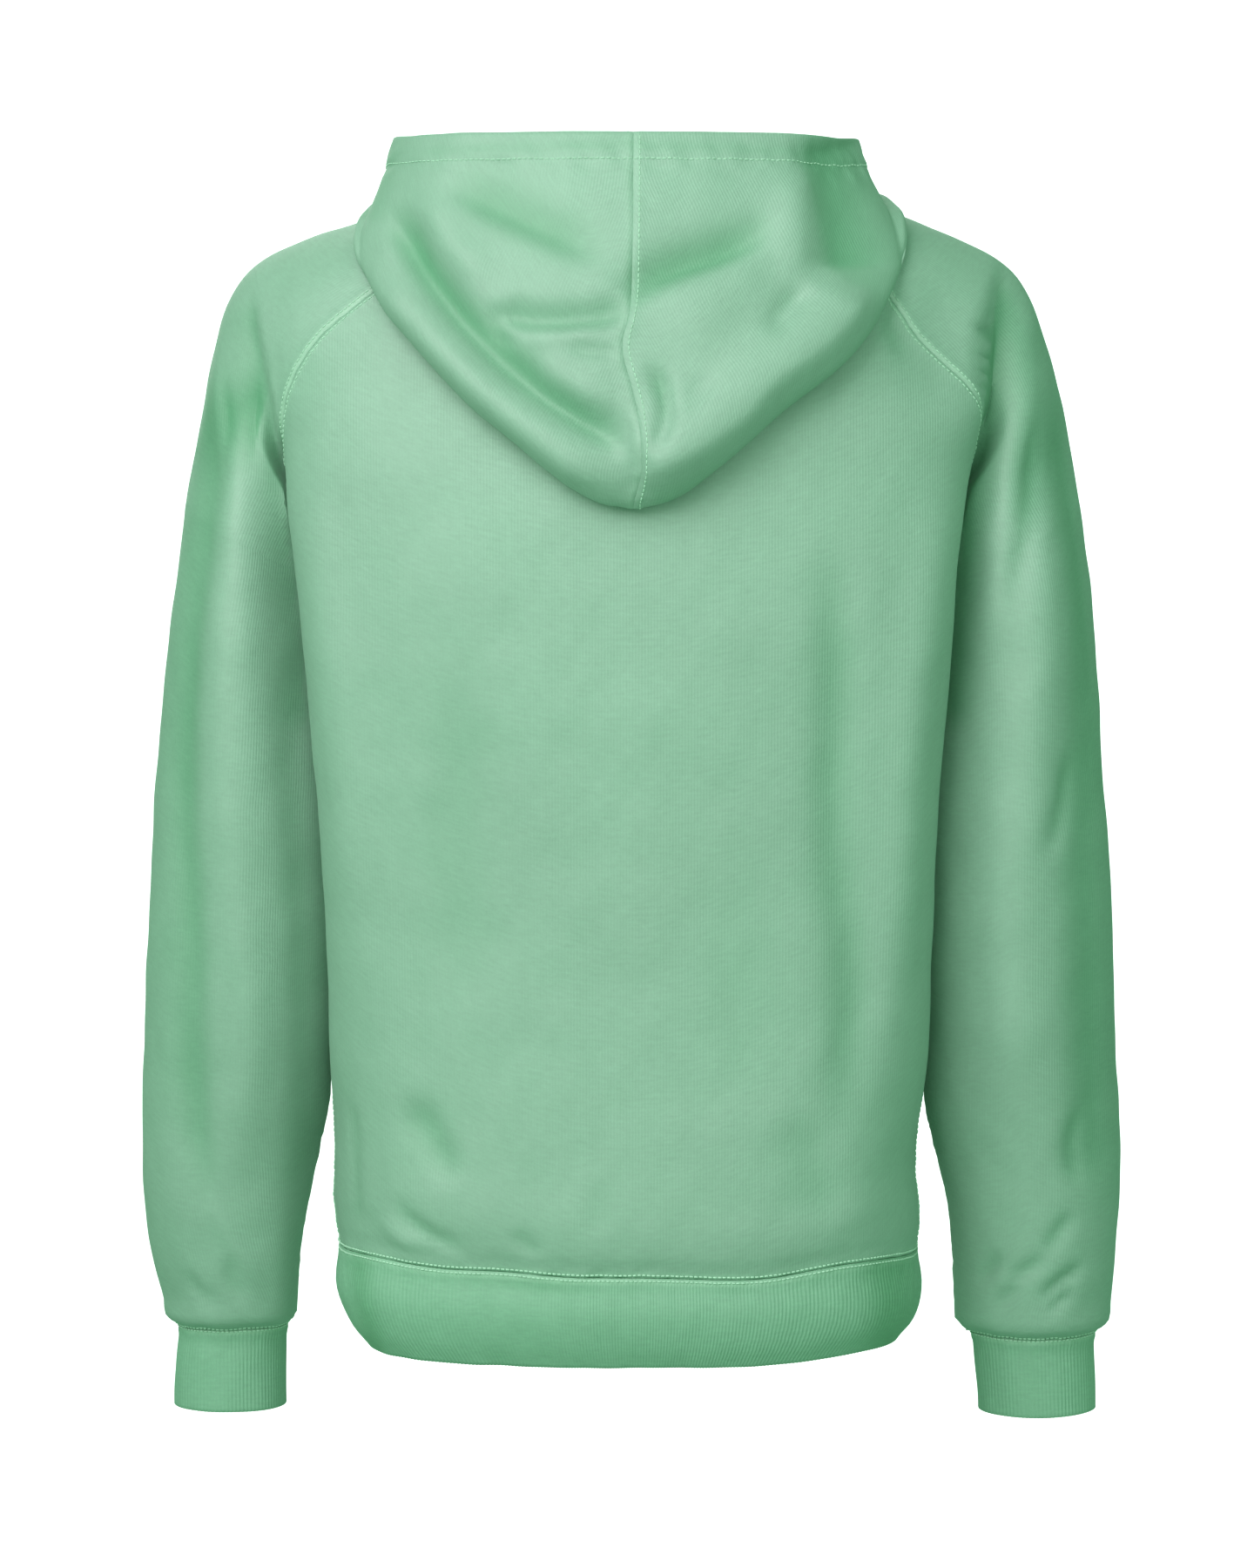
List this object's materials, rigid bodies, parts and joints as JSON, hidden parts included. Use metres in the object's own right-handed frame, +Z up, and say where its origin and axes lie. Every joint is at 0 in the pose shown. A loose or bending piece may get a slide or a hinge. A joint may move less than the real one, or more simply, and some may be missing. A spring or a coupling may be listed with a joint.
{
  "type": "zip-up hoodie",
  "caption": "Mint zip-up hoodie worn with arms hanging: raglan sleeves, hood down on the back, hem band, cuffs, patch pockets and a closed front zip.",
  "frame": {"origin": "the middle of the line across both shoulders, where the wearer's shoulders carry the garment", "axes": "+Z up to the head, +Y behind the wearer, +X at the wearer's left"},
  "size_m": [0.6292, 0.3006, 0.8087],
  "materials": {
    "sweatshirt_cloth": "smooth mint green sweatshirt cloth with a soft bloom",
    "band_cloth": "fine doubled rib, a shade deeper than the body",
    "zip_tape": "woven zip tape and moulded chain in the garment's green",
    "zip_metal": "satin metal"
  },
  "bodies": {
    "garment": {"back": "sweatshirt_cloth", "front_left": "sweatshirt_cloth", "front_right": "sweatshirt_cloth", "sleeve_left": "sweatshirt_cloth", "sleeve_right": "sweatshirt_cloth", "hood_left": "sweatshirt_cloth", "hood_right": "sweatshirt_cloth", "pocket_left": "sweatshirt_cloth", "pocket_right": "sweatshirt_cloth", "hem_band": "band_cloth", "cuff_left": "band_cloth", "cuff_right": "band_cloth", "zip_tape_left": "zip_tape", "zip_tape_right": "zip_tape", "zip_chain": "zip_tape", "zip_slider": "zip_metal", "top_stop_left": "zip_metal", "top_stop_right": "zip_metal", "zip_box": "zip_metal"},
    "pull_tab_body": {"pull_tab": "zip_metal"}
  },
  "joints": [
    {"name": "pull_tab_hinge", "type": "hinge", "parent": "garment", "child": "pull_tab_body", "pos_m": [0, -0.10202, -0.06403], "axis": [-1, 0, 0], "range_deg": [0, 150]}
  ]
}
